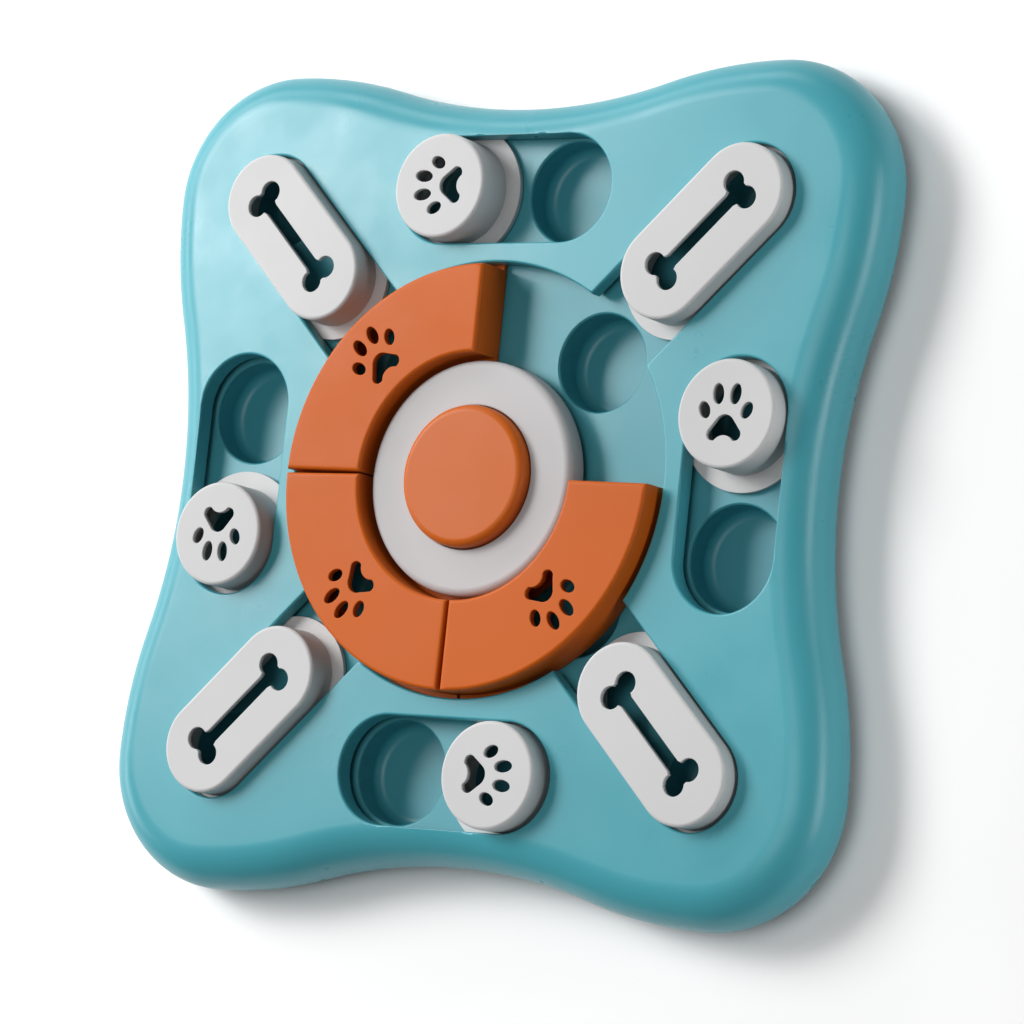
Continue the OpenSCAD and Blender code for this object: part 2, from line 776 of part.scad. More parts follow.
module squeak_reed() {
    color(WHITE) difference() {
        union() {
            translate([0, 0, cup_z]) cylinder(r = 6, h = 3.4);
            translate([0, 0, cup_z + 1.6]) cylinder(r = 7.4, h = 1.4);
        }
        translate([-2.5, -0.6, cup_z - 1]) cube([5, 1.2, 8]);
        for (s = [-1, 1]) translate([0, s * 3.6, cup_z - 1]) cylinder(r = 0.9, h = 8);
    }
}

// ---- nodes ----

top_cover();
lower_tray();
cups_slot(0);  // cups_slot_top
cups_slot(1);  // cups_slot_right
cups_slot(2);  // cups_slot_bottom
cups_slot(3);  // cups_slot_left
cup_ring(0);  // cup_ring_ur
cup_ring(1);  // cup_ring_ul
cup_ring(2);  // cup_ring_ll
cup_ring(3);  // cup_ring_lr
cup_bone(0);  // cup_bone_ur
cup_bone(1);  // cup_bone_ul
cup_bone(2);  // cup_bone_ll
cup_bone(3);  // cup_bone_lr
hub_disc();
body_screws();
hub_screws();
translate([-foot_x, foot_y, 0]) foot();  // foot_ul
translate([foot_x, foot_y, 0]) foot();  // foot_ur
translate([-foot_x, -foot_y, 0]) foot();  // foot_ll
translate([foot_x, -foot_y, 0]) foot();  // foot_lr
squeak_bulb();
squeak_reed();
squeak_button();
button_collar();
paw_place(0) paw_cap();  // paw_cap_top
paw_place(1) paw_cap();  // paw_cap_right
paw_place(2) paw_cap();  // paw_cap_bottom
paw_place(3) paw_cap();  // paw_cap_left
paw_place(0) paw_guide();  // paw_guide_top
paw_place(1) paw_guide();  // paw_guide_right
paw_place(2) paw_guide();  // paw_guide_bottom
paw_place(3) paw_guide();  // paw_guide_left
bone_place(0) bone_cap();  // bone_cap_ur
bone_place(1) bone_cap();  // bone_cap_ul
bone_place(2) bone_cap();  // bone_cap_ll
bone_place(3) bone_cap();  // bone_cap_lr
bone_place(0) bone_guide_plate();  // bone_guide_ur
bone_place(1) bone_guide_plate();  // bone_guide_ul
bone_place(2) bone_guide_plate();  // bone_guide_ll
bone_place(3) bone_guide_plate();  // bone_guide_lr
arc_place(0) arc_cover();  // arc_cover_ul
arc_place(1) arc_cover();  // arc_cover_ll
arc_place(2) arc_cover();  // arc_cover_lr
arc_place(0) arc_runner();  // arc_runner_ul
arc_place(1) arc_runner();  // arc_runner_ll
arc_place(2) arc_runner();  // arc_runner_lr
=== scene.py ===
"""Treat puzzle board: a lobed shell over a tray, with captured sliders, ring covers and a squeak button.

Everything is in metres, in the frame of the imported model, which lies flat with its playing face up.
"""
import math

import bmesh
import bpy
from bpy.props import FloatProperty, FloatVectorProperty, IntProperty, PointerProperty
from mathutils import Matrix, Vector


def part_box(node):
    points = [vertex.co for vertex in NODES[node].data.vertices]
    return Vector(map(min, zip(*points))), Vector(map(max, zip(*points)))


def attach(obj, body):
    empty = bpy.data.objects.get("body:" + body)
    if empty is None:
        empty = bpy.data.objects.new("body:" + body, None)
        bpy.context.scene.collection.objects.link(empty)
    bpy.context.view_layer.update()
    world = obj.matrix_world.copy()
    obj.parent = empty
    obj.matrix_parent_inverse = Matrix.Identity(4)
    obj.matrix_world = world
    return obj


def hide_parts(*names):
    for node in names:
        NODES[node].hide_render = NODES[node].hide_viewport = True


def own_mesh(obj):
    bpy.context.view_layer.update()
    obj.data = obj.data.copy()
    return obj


bl_info = {
    "name": "Treat puzzle board",
    "version": (1, 0, 0),
    "blender": (4, 5, 0),
    "location": "3D View > Sidebar > Puzzle",
    "description": "Models and dresses a sliding treat puzzle over its packed frame",
    "category": "Object",
}

MM = 0.001
TINY = 0.02 * MM       # two heights closer than this are the same height
LEAN_SINE = 7 / 25     # sine of the angle that each flank of the outline turns through
ROUND_SIDES = 96
SMOOTH_SIDES = 128
FINE_SIDES = 192
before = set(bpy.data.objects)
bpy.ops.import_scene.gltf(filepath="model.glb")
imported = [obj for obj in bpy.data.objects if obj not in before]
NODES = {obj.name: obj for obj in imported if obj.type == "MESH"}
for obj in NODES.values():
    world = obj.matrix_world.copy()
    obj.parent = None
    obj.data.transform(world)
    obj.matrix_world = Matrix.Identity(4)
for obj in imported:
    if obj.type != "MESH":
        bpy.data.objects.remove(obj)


# ---- what the frame says ----

def low(node):
    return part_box(node)[0]


def high(node):
    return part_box(node)[1]


def middle(node):
    return (low(node) + high(node)) / 2


FACE_Z = high("top_cover").z
FOOT_DROP = low("top_cover").z
WIDEST = high("top_cover").x
SIDES = ("top", "right", "bottom", "left")
CORNERS = ("ur", "ul", "ll", "lr")
PAW_R = (high("paw_cap_top").x - low("paw_cap_top").x) / 2
PAW_TOP = high("paw_cap_top").z
PAW_FOOT = low("paw_cap_top").z
BONE_TOP = high("bone_cap_ur").z
BONE_FOOT = low("bone_cap_ur").z
ARC_TOP = high("arc_cover_ul").z
ARC_FOOT = low("arc_cover_ul").z
HUB_R = high("hub_disc").x
HUB_TOP = high("hub_disc").z
HUB_FOOT = low("hub_disc").z
BUTTON_R = high("squeak_button").x
BUTTON_TOP = high("squeak_button").z
BUTTON_FOOT = low("squeak_button").z
BULB_R = high("squeak_bulb").x
BULB_TOP = high("squeak_bulb").z
BULB_FOOT = low("squeak_bulb").z


# ---- edit-mode helpers ----

def only(obj):
    """Makes obj the one selected and active object."""
    if bpy.context.object and bpy.context.object.mode != "OBJECT":
        bpy.ops.object.mode_set(mode="OBJECT")
    bpy.ops.object.select_all(action="DESELECT")
    obj.select_set(True)
    bpy.context.view_layer.objects.active = obj


def edit(obj, mode="VERT"):
    only(obj)
    bpy.ops.object.mode_set(mode="EDIT")
    bpy.ops.mesh.select_mode(type=mode)
    bpy.ops.mesh.select_all(action="DESELECT")


def leave():
    bpy.ops.object.mode_set(mode="OBJECT")


def pick(obj, test, kind="verts"):
    """Selects, in edit mode, the vertices, edges or faces that pass the test, and says how many."""
    shape = bmesh.from_edit_mesh(obj.data)
    shape.normal_update()
    found = 0
    for part in getattr(shape, kind):
        hit = bool(test(part))
        part.select_set(hit)
        found += hit
    shape.select_flush_mode()
    bmesh.update_edit_mesh(obj.data)
    return found


def named(obj, name):
    obj.name = name
    obj.data.name = name
    return obj


def settle(obj):
    """Puts the object's place into its mesh."""
    only(obj)
    bpy.ops.object.transform_apply(location=True, rotation=True, scale=True)
    return obj


def disc(name, radius, z0, z1, sides=ROUND_SIDES, at=(0, 0), turn=0.0):
    """A closed round block from z0 to z1."""
    bpy.ops.object.select_all(action="DESELECT")
    bpy.ops.mesh.primitive_cylinder_add(
        vertices=sides, radius=radius, depth=z1 - z0,
        location=(at[0], at[1], (z0 + z1) / 2), rotation=(0, 0, turn))
    return settle(named(bpy.context.object, name))


def bar(name, x0, x1, radius, z0, z1, sides=ROUND_SIDES):
    """A closed block with round ends, from end centre x0 to end centre x1."""
    obj = disc(name, radius, z0, z1, sides, turn=math.pi / sides)
    edit(obj)
    pick(obj, lambda v: v.co.x > 0)
    bpy.ops.transform.translate(value=(x1, 0, 0))
    pick(obj, lambda v: v.co.x < 0)
    bpy.ops.transform.translate(value=(x0, 0, 0))
    leave()
    return obj


def blob(name, spots, z0, z1):
    """The hull of some discs, each given as x, y and radius in millimetres."""
    obj = join([disc("spot", r * MM, z0, z1, 48, (x * MM, y * MM)) for x, y, r in spots], name)
    edit(obj)
    bpy.ops.mesh.select_all(action="SELECT")
    bpy.ops.mesh.convex_hull()
    leave()
    return obj


def flare(tool, wide, z, rounding):
    """Widens a cutting block from height z up, with a quarter round, so that its cut has a rounded edge."""
    cut(tool, wide, "UNION")
    soften(tool, z, rounding, 4, lambda e: not e.is_convex)
    return tool


def place(obj, x=0.0, y=0.0, turn=0.0):
    """Turns obj about +Z through its origin, then moves it."""
    obj.matrix_world = Matrix.Translation((x, y, 0)) @ Matrix.Rotation(turn, 4, "Z") @ obj.matrix_world
    return settle(obj)


def copy_of(obj, name):
    made = obj.copy()
    made.data = obj.data.copy()
    bpy.context.scene.collection.objects.link(made)
    return named(made, name)


def join(objs, name):
    only(objs[0])
    for o in objs:
        o.select_set(True)
    bpy.ops.object.join()
    return named(bpy.context.object, name)


def apply(obj, kind, **settings):
    only(obj)
    mod = obj.modifiers.new(kind.title(), kind)
    for key, value in settings.items():
        setattr(mod, key, value)
    bpy.ops.object.modifier_apply(modifier=mod.name)
    return obj


def cut(obj, tool, how="DIFFERENCE"):
    """Takes tool away from obj, or adds it, and removes the tool."""
    apply(obj, "BOOLEAN", operation=how, object=tool, solver="EXACT")
    bpy.data.objects.remove(tool)
    return obj


def spin(steps, angle, centre, axis=(0, 0, 1)):
    """Spins the selection counter-clockwise about the axis."""
    bpy.ops.mesh.spin(steps=steps, angle=-angle, center=centre, axis=axis)


def level(edge, z):
    return all(abs(v.co.z - z) < TINY for v in edge.verts)


def sharp(edge, angle=0.6):
    return len(edge.link_faces) == 2 and edge.calc_face_angle(0) > angle


def soften(obj, z, width, segments=3, test=lambda e: True):
    """Rounds the sharp edges that lie at height z and pass the test."""
    edit(obj, "EDGE")
    count = pick(obj, lambda e: level(e, z) and sharp(e) and test(e), "edges")
    if not count:
        raise RuntimeError(f"{obj.name} has no sharp edge at {z:.5f}")
    bpy.ops.mesh.bevel(offset=width, segments=segments, profile=0.5, affect="EDGES")
    leave()
    return obj


def hollow(obj, wall, roof, z1):
    """Opens a flat-bottomed block from below, leaving a wall and a roof."""
    base = min(v.co.z for v in obj.data.vertices)
    edit(obj, "FACE")
    pick(obj, lambda f: f.normal.z < -0.9 and abs(f.calc_center_median().z - base) < TINY, "faces")
    bpy.ops.mesh.inset(thickness=wall)
    bpy.ops.mesh.extrude_region_move(TRANSFORM_OT_translate={"value": (0, 0, z1 - roof - base)})
    leave()
    return obj


def dress(obj, material, body, node):
    """Shades a finished piece, gives it its finish, hides the node it stands for and hangs it on its body's empty.
    """
    only(obj)
    bpy.ops.object.shade_smooth()
    edit(obj, "EDGE")
    bpy.ops.mesh.edges_select_sharp(sharpness=math.radians(50))
    bpy.ops.mesh.mark_sharp()
    leave()
    apply(obj, "WEIGHTED_NORMAL", weight=100, keep_sharp=True)
    obj.data.materials.clear()
    obj.data.materials.append(finish(material))
    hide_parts(node)
    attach(obj, body)
    return obj


# ---- moulded plastics ----

GRAIN_DEPTH = 0.05 * MM
PLASTIC_IOR = 1.46


class Finish:
    """Node tree of one material, with small helpers to add and link nodes."""

    def __init__(self, name):
        self.material = bpy.data.materials.new(name)
        self.material.use_nodes = True
        self.tree = self.material.node_tree
        self.shader = self.tree.nodes["Principled BSDF"]
        self.coords = self.add("ShaderNodeTexCoord")

    def add(self, kind, **settings):
        node = self.tree.nodes.new(kind)
        for key, value in settings.items():
            setattr(node, key, value)
        return node

    def link(self, source, target):
        self.tree.links.new(source, target)

    def noise(self, scale, detail=3.0, rough=0.5):
        node = self.add("ShaderNodeTexNoise")
        node.inputs["Scale"].default_value = scale
        node.inputs["Detail"].default_value = detail
        node.inputs["Roughness"].default_value = rough
        self.link(self.coords.outputs["Object"], node.inputs["Vector"])
        return node.outputs["Fac"]

    def spread(self, source, low_value, high_value, start=0.3, end=0.7):
        node = self.add("ShaderNodeMapRange")
        node.inputs["From Min"].default_value = start
        node.inputs["From Max"].default_value = end
        node.inputs["To Min"].default_value = low_value
        node.inputs["To Max"].default_value = high_value
        self.link(source, node.inputs["Value"])
        return node.outputs["Result"]

    def blend(self, factor, first, second):
        node = self.add("ShaderNodeMix", data_type="RGBA")
        for socket, value in ((node.inputs[0], factor), (node.inputs[6], first), (node.inputs[7], second)):
            if hasattr(value, "is_linked"):
                self.link(value, socket)
            elif isinstance(value, (int, float)):
                socket.default_value = value
            else:
                socket.default_value = (*value[:3], 1.0)
        return node.outputs[2]

    def edges(self, radius):
        """1 on edges tighter than the radius, 0 on flats."""
        bevel = self.add("ShaderNodeBevel", samples=6)
        bevel.inputs["Radius"].default_value = radius
        geometry = self.add("ShaderNodeNewGeometry")
        dot = self.add("ShaderNodeVectorMath", operation="DOT_PRODUCT")
        self.link(bevel.outputs["Normal"], dot.inputs[0])
        self.link(geometry.outputs["Normal"], dot.inputs[1])
        return self.spread(dot.outputs["Value"], 1.0, 0.0, 0.75, 0.995), bevel.outputs["Normal"]


def moulded(name, colour, roughness, gloss=0.45, grain=0.04, edge_radius=0.35 * MM, sheen=0.0, lift=0.10):
    """Moulded plastic: faint colour drift, a fine spark-eroded grain, paler rubbed edges and uneven gloss."""
    f = Finish(name)
    drift = f.noise(scale=9.0, detail=2.0)
    fine = f.noise(scale=1500.0, detail=2.0, rough=0.6)
    smear = f.noise(scale=38.0, detail=4.0, rough=0.6)
    worn, rounded = f.edges(edge_radius)
    deep = tuple(c * 0.93 for c in colour)
    pale = tuple(c * 1.05 for c in colour)
    body = f.blend(f.spread(drift, 0.0, 1.0), deep, pale)
    rubbed = tuple(c + lift * (1.0 - c) for c in colour)
    f.link(f.blend(f.spread(worn, 0.0, 0.8, 0.0, 1.0), body, rubbed), f.shader.inputs["Base Color"])
    f.link(f.spread(smear, roughness - 0.05, roughness + 0.07), f.shader.inputs["Roughness"])
    bump = f.add("ShaderNodeBump")
    bump.inputs["Strength"].default_value = grain
    bump.inputs["Distance"].default_value = GRAIN_DEPTH
    f.link(fine, bump.inputs["Height"])
    f.link(rounded, bump.inputs["Normal"])
    f.link(bump.outputs["Normal"], f.shader.inputs["Normal"])
    f.shader.inputs["IOR"].default_value = PLASTIC_IOR
    f.shader.inputs["Specular IOR Level"].default_value = gloss
    f.shader.inputs["Sheen Weight"].default_value = sheen
    return f.material


def plated(name, colour):
    """Zinc-plated steel for the screws."""
    f = Finish(name)
    worn, rounded = f.edges(0.1 * MM)
    f.link(f.blend(f.spread(worn, 0.0, 0.7, 0.0, 1.0), colour, (0.9, 0.9, 0.88)), f.shader.inputs["Base Color"])
    f.link(f.spread(f.noise(400.0), 0.28, 0.45), f.shader.inputs["Roughness"])
    f.link(rounded, f.shader.inputs["Normal"])
    f.shader.inputs["Metallic"].default_value = 1.0
    return f.material


def finish(name):
    """The material called name, made once from the scene's colours."""
    made = bpy.data.materials.get(name)
    if made:
        return made
    c = bpy.context.scene.puzzle_colours
    makers = {
        "shell_plastic": lambda: moulded(name, c.shell, 0.31, 0.40, grain=0.02, lift=0.16),
        "tray_plastic": lambda: moulded(name, c.tray, 0.36),
        "cap_plastic": lambda: moulded(name, c.cap, 0.54, 0.22, lift=0.3),
        "hub_plastic": lambda: moulded(name, c.hub, 0.6, 0.25, grain=0.08, lift=0.2),
        "guide_plastic": lambda: moulded(name, c.cap, 0.5, 0.3),
        "cover_plastic": lambda: moulded(name, c.cover, 0.38, 0.13, lift=0.06),
        "button_plastic": lambda: moulded(name, c.button, 0.38, 0.18, grain=0.06, lift=0.10),
        "grey_rubber": lambda: moulded(name, c.rubber, 0.75, grain=0.15, sheen=0.2),
        "screw_zinc": lambda: plated(name, c.steel),
    }
    return makers[name]()


# ---- sizes and colours a user can change ----

class PuzzleShell(bpy.types.PropertyGroup):
    """Sizes of the lobed shell."""
    side_half: FloatProperty(
        name="Half width at a side", description="From the middle to the hollow of a side",
        default=117 * MM, unit="LENGTH")
    side_reach: FloatProperty(
        name="Side reach", description="Radius of the hollow side plus radius of the flank",
        default=317.5 * MM, unit="LENGTH")
    flank_r: FloatProperty(
        name="Flank radius", description="Radius between side and corner lobe",
        default=140 * MM, unit="LENGTH")
    crown_r: FloatProperty(
        name="Crown radius", description="Roll of the edge above its widest line",
        default=13 * MM, unit="LENGTH")
    under_r: FloatProperty(
        name="Underside radius", description="Roll of the edge below its widest line",
        default=14 * MM, unit="LENGTH")
    wall: FloatProperty(
        name="Wall", description="Thickness of the moulded shell", default=2.4 * MM, unit="LENGTH")
    opening_r: FloatProperty(
        name="Opening radius", description="Radius of the round opening", default=66.9 * MM, unit="LENGTH")
    slot_at: FloatProperty(
        name="Slot distance", description="From the middle to a slot's middle line",
        default=89.7 * MM, unit="LENGTH")
    slot_end: FloatProperty(
        name="Slot half length", description="From a slot's middle to its end centre",
        default=21.3 * MM, unit="LENGTH")
    slot_half: FloatProperty(
        name="Slot half width", description="Radius of a slot's round ends", default=16.75 * MM, unit="LENGTH")
    channel_out: FloatProperty(
        name="Channel end", description="Outer end centre of a diagonal channel",
        default=122.5 * MM, unit="LENGTH")
    channel_in: FloatProperty(
        name="Channel start", description="How far a channel reaches into the round opening",
        default=10 * MM, unit="LENGTH")
    channel_half: FloatProperty(
        name="Channel half width", description="Radius of a channel's round end",
        default=15.3 * MM, unit="LENGTH")
    lip: FloatProperty(
        name="Lip", description="Thickness of the lips under the openings", default=2 * MM, unit="LENGTH")
    slot_lip_z: FloatProperty(
        name="Slot lip height", description="Lower end of the lips round the slots",
        default=18.0 * MM, unit="LENGTH")
    ring_lip_z: FloatProperty(
        name="Ring lip height", description="Lower end of the lips round the ring and channels",
        default=19.3 * MM, unit="LENGTH")
    edge: FloatProperty(
        name="Edge rounding", description="Rounding of the openings' edges", default=0.8 * MM, unit="LENGTH")
    border: FloatProperty(
        name="Border", description="Row of faces between the rolled edge and the flat face",
        default=3 * MM, unit="LENGTH")


class PuzzleCaps(bpy.types.PropertyGroup):
    """Sizes of the sliders, ring covers, hub and button."""
    wall: FloatProperty(
        name="Cap wall", description="Wall of the moulded caps", default=1.9 * MM, unit="LENGTH")
    roof: FloatProperty(
        name="Cap roof", description="Thickness of the caps' tops", default=1.5 * MM, unit="LENGTH")
    round: FloatProperty(
        name="Cap rounding", description="Rounding of the caps' top edges", default=1.1 * MM, unit="LENGTH")
    print_edge: FloatProperty(
        name="Print rounding", description="Rounding round the sunk prints", default=0.2 * MM, unit="LENGTH")
    bone_in: FloatProperty(
        name="Bone inner end", description="Inner end centre of a bone cap", default=88.6 * MM, unit="LENGTH")
    bone_out: FloatProperty(
        name="Bone outer end", description="Outer end centre of a bone cap", default=122 * MM, unit="LENGTH")
    bone_r: FloatProperty(
        name="Bone radius", description="Radius of a bone cap's ends", default=14.7 * MM, unit="LENGTH")
    arc_in: FloatProperty(
        name="Ring cover inner radius", description="Inner radius of the ring covers",
        default=37.9 * MM, unit="LENGTH")
    arc_out: FloatProperty(
        name="Ring cover outer radius", description="Outer radius of the ring covers",
        default=65.3 * MM, unit="LENGTH")
    arc_span: FloatProperty(
        name="Ring cover span", description="Angle that one ring cover spans",
        default=math.radians(88.9), unit="ROTATION")
    arc_start: FloatProperty(
        name="First ring cover", description="Angle at which the first ring cover starts",
        default=math.radians(90.3), unit="ROTATION")
    arc_step: FloatProperty(
        name="Ring cover step", description="Angle from one ring cover to the next",
        default=math.radians(89.9), unit="ROTATION")
    bore_r: FloatProperty(
        name="Hub bore", description="Radius of the hub's bore round the button",
        default=22.1 * MM, unit="LENGTH")
    hub_foot_r: FloatProperty(
        name="Hub foot", description="Radius of the hub below its rim", default=31.5 * MM, unit="LENGTH")
    hub_round: FloatProperty(
        name="Hub rounding", description="Rounding of the hub and the button", default=2.4 * MM, unit="LENGTH")
    bore_round: FloatProperty(
        name="Bore rounding", description="Rounding of the bore's top edge", default=0.5 * MM, unit="LENGTH")
    button_wall: FloatProperty(
        name="Button wall", description="Wall of the button", default=2 * MM, unit="LENGTH")
    thick_roof: FloatProperty(
        name="Thick roof", description="Thickness of the tops of the ring covers and the button",
        default=2.2 * MM, unit="LENGTH")
    press: FloatProperty(
        name="Button travel", description="How far the button goes down", default=3.2 * MM, unit="LENGTH")
    folds: IntProperty(name="Bellows folds", description="Folds of the rubber bellows", default=3)
    fold_depth: FloatProperty(
        name="Fold depth", description="From a fold's rim to the bellows' core", default=4 * MM, unit="LENGTH")
    fold_gap: FloatProperty(
        name="Fold gap", description="Groove between two folds", default=1 * MM, unit="LENGTH")
    fold_round: FloatProperty(
        name="Fold rounding", description="Rounding of the folds' rims", default=0.9 * MM, unit="LENGTH")
    bulb_flange: FloatProperty(
        name="Bellows flange", description="Thickness of the flange that the bellows stands on",
        default=1.6 * MM, unit="LENGTH")
    bulb_neck: FloatProperty(
        name="Bellows neck", description="Height of the bellows' top above its last fold",
        default=1.2 * MM, unit="LENGTH")


def colour(label, words, value):
    return FloatVectorProperty(
        name=label, description=words, subtype="COLOR", size=3, min=0.0, max=1.0, default=value)


class PuzzleColours(bpy.types.PropertyGroup):
    """Colours of the finishes."""
    shell: colour("Shell", "Teal of the moulded shell", (0.052, 0.295, 0.35))
    tray: colour("Tray", "Teal of the tray and its cups", (0.045, 0.26, 0.31))
    cap: colour("Caps", "White of the sliders", (0.50, 0.50, 0.50))
    hub: colour("Hub", "White of the hub disc", (0.46, 0.45, 0.455))
    cover: colour("Covers", "Orange of the ring covers", (0.48, 0.094, 0.007))
    button: colour("Button", "Orange of the squeak button", (0.48, 0.100, 0.009))
    rubber: colour("Rubber", "Grey of the feet and bellows", (0.05, 0.055, 0.06))
    steel: colour("Screws", "Grey of the plated screws", (0.58, 0.58, 0.60))


class PuzzleStage(bpy.types.PropertyGroup):
    """Camera and lights."""
    side_turn: FloatProperty(
        name="Side turn", description="Camera's turn to the right of the face's normal",
        default=0.585245709, unit="ROTATION")
    rise: FloatProperty(
        name="Rise", description="Camera's turn above the face's normal", default=-0.117297745, unit="ROTATION")
    roll: FloatProperty(
        name="Roll", description="Camera's roll", default=0.105240954, unit="ROTATION")
    distance: FloatProperty(
        name="Distance", description="From the camera to its aim", default=1304.78 * MM, unit="LENGTH")
    aim_x: FloatProperty(
        name="Aim X", description="Aim point on the face", default=15.11 * MM, unit="LENGTH")
    aim_y: FloatProperty(
        name="Aim Y", description="Aim point on the face", default=-9.859 * MM, unit="LENGTH")
    lens: FloatProperty(name="Lens", description="Focal length in millimetres", default=152.742)
    key: FloatProperty(name="Key light", description="Power of the key light in watts", default=26.0)
    gleam: FloatProperty(
        name="Gleam light", description="Power of the light that gleams on the face in watts", default=7.0)
    overhead: FloatProperty(
        name="Overhead light", description="Power of the broad light overhead in watts", default=9.5)
    fill: FloatProperty(name="Fill light", description="Power of each low strip light in watts", default=6.0)
    edge: FloatProperty(name="Edge light", description="Power of the edge light in watts", default=0.05)
    sky: FloatProperty(name="Sky", description="Strength of the even surrounding light", default=0.12)
    floor: FloatProperty(
        name="Floor size", description="Side of the square floor", default=12.0, unit="LENGTH")


# ---- the shell ----

def rim_sweep(s):
    """The rolled edge: a two-radius section spun round corner, flank, side and flank, four times."""
    corner_at = LEAN_SINE * s.side_reach
    side_at = s.side_half + s.side_reach - s.flank_r
    flank_at = WIDEST - s.flank_r
    wide_z = FACE_Z - s.crown_r
    lean = math.asin(LEAN_SINE)
    bpy.ops.object.select_all(action="DESELECT")
    bpy.ops.mesh.primitive_plane_add(size=1 * MM, location=(WIDEST - s.crown_r, corner_at, FACE_Z))
    obj = settle(named(bpy.context.object, "shell"))
    edit(obj)
    bpy.ops.mesh.select_all(action="SELECT")
    bpy.ops.mesh.merge(type="CENTER")
    spin(20, math.radians(90), (WIDEST - s.crown_r, corner_at, wide_z), (0, 1, 0))
    under = math.asin((wide_z - FOOT_DROP) / s.under_r)
    spin(5, under, (WIDEST - s.under_r, corner_at, wide_z), (0, 1, 0))
    bpy.ops.mesh.select_all(action="SELECT")
    for quarter in range(4):
        turn = Matrix.Rotation(math.radians(90) * quarter, 3, "Z")
        for steps, angle, centre in (
            (24, math.radians(90), (corner_at, corner_at, 0)),
            (10, lean, (corner_at, flank_at, 0)),
            (24, -2 * lean, (0, side_at, 0)),
            (10, lean, (-corner_at, flank_at, 0)),
        ):
            spin(steps, angle, turn @ Vector(centre))
    bpy.ops.mesh.select_all(action="SELECT")
    bpy.ops.mesh.remove_doubles(threshold=0.01 * MM)
    leave()
    return obj


def slot_block(s, spare, z0, z1):
    return bar("slot_block", -s.slot_end, s.slot_end, s.slot_half + spare, z0, z1)


def round_block(s, spare, z0, z1):
    return disc("round_block", s.opening_r + spare, z0, z1, FINE_SIDES)


def channel_block(s, spare, z0, z1):
    return bar("channel_block", s.opening_r - s.channel_in, s.channel_out, s.channel_half + spare, z0, z1)


class PUZZLE_OT_shell(bpy.types.Operator):
    """Model the lobed shell with its slots, channels, round opening and lips"""
    bl_idname = "puzzle.shell"
    bl_label = "Shell"

    def execute(self, context):
        s = context.scene.puzzle_shell
        obj = rim_sweep(s)
        edit(obj, "EDGE")
        pick(obj, lambda e: level(e, FACE_Z) and len(e.link_faces) == 1, "edges")
        bpy.ops.mesh.edge_face_add()
        bpy.ops.mesh.inset(thickness=s.border)
        bpy.ops.mesh.select_all(action="SELECT")
        bpy.ops.mesh.normals_make_consistent(inside=False)
        leave()
        top = max(obj.data.polygons, key=lambda p: p.area)
        if top.normal.z < 0:
            obj.data.flip_normals()
        apply(obj, "SOLIDIFY", thickness=s.wall, offset=-1.0, use_even_offset=True)
        slots = [(s.slot_at, math.radians(90 * k)) for k in range(4)]
        channels = [(0, math.radians(45 + 90 * k)) for k in range(4)]
        openings = (
            (slot_block, s.slot_lip_z, slots),
            (round_block, s.ring_lip_z, [(0, 0)]),
            (channel_block, s.ring_lip_z, channels),
        )
        # The lips' collars end inside the plate, and the cutting blocks reach from under the lips to above the face.
        in_plate = FACE_Z - s.wall + 0.4 * MM
        under_lips, brim = FOOT_DROP + 9 * MM, FACE_Z + TINY
        for block, lip_z, places in openings:
            for out, turn in places:
                collar = block(s, s.lip, lip_z, in_plate)
                cut(obj, place(place(collar, 0, out), turn=turn), "UNION")
        for block, _, places in openings:
            for out, turn in places:
                hole = block(s, 0, under_lips, FACE_Z + 3 * MM)
                flare(hole, block(s, 2 * s.edge, brim, FACE_Z + 5 * MM), brim, s.edge)
                cut(obj, place(place(hole, 0, out), turn=turn))
        dress(obj, "shell_plastic", "base", "top_cover")
        return {"FINISHED"}


# ---- prints ----

# Lengths of the prints are in millimetres from the print's middle.
TOES = ((2.9, 5.7, 3.6, 6.2, 6), (7.1, 0.9, 3.6, 5.2, 24))      # across, up, width, length, turn in degrees
PAD = ((0, -3.8, 3.4), (-3.8, -6.2, 1.9), (3.8, -6.2, 1.9))     # across, up, radius
PAD_ARCH = (-10.4, 3.9)                                         # up, radius
SHAFT = (32, 4.4)                                               # length, width
NECK = ((12.6, 0, 2.1), (16.0, 0, 3.3))                         # along, across, radius
LOBE = (17.1, 3.2, 3.45)                                        # along, across, radius
PRINT_REACH = 4 * MM    # how far the cutting blocks reach below and above a cap's top


def paw_cutter(z0, z1):
    """Four toes and a pad, toes toward +Y, as one cutting block."""
    parts = []
    for across, up, width, length, turn in TOES:
        for side in (-1, 1):
            toe = disc("toe", 0.5, z0, z1, 40)
            toe.scale = (width * MM, length * MM, 1)
            parts.append(place(settle(toe), side * across * MM, up * MM, math.radians(-side * turn)))
    pad = blob("pad", PAD, z0, z1)
    up, radius = PAD_ARCH
    cut(pad, disc("arch", radius * MM, z0 - 1 * MM, z1 + 1 * MM, 64, (0, up * MM)))
    return join([*parts, pad], "paw_cutter")


def bone_cutter(z0, z1):
    """A bone along X, as one cutting block. Each added block is a little taller, so that no faces coincide."""
    length, width = SHAFT
    bone = disc("bone_cutter", 0.5, z0, z1, 4, turn=math.pi / 4)
    bone.scale = (2 ** 0.5 * length * MM, 2 ** 0.5 * width * MM, 1)
    settle(bone)
    along, across, radius = LOBE
    for end in (-1, 1):
        spots = [(end * x, y, r) for x, y, r in NECK]
        cut(bone, blob("neck", spots, z0 - 0.1 * MM, z1 + 0.1 * MM), "UNION")
        for side in (-1, 1):
            at = (end * along * MM, side * across * MM)
            cut(bone, disc("lobe", radius * MM, z0 - 0.2 * MM, z1 + 0.2 * MM, 40, at), "UNION")
    return bone


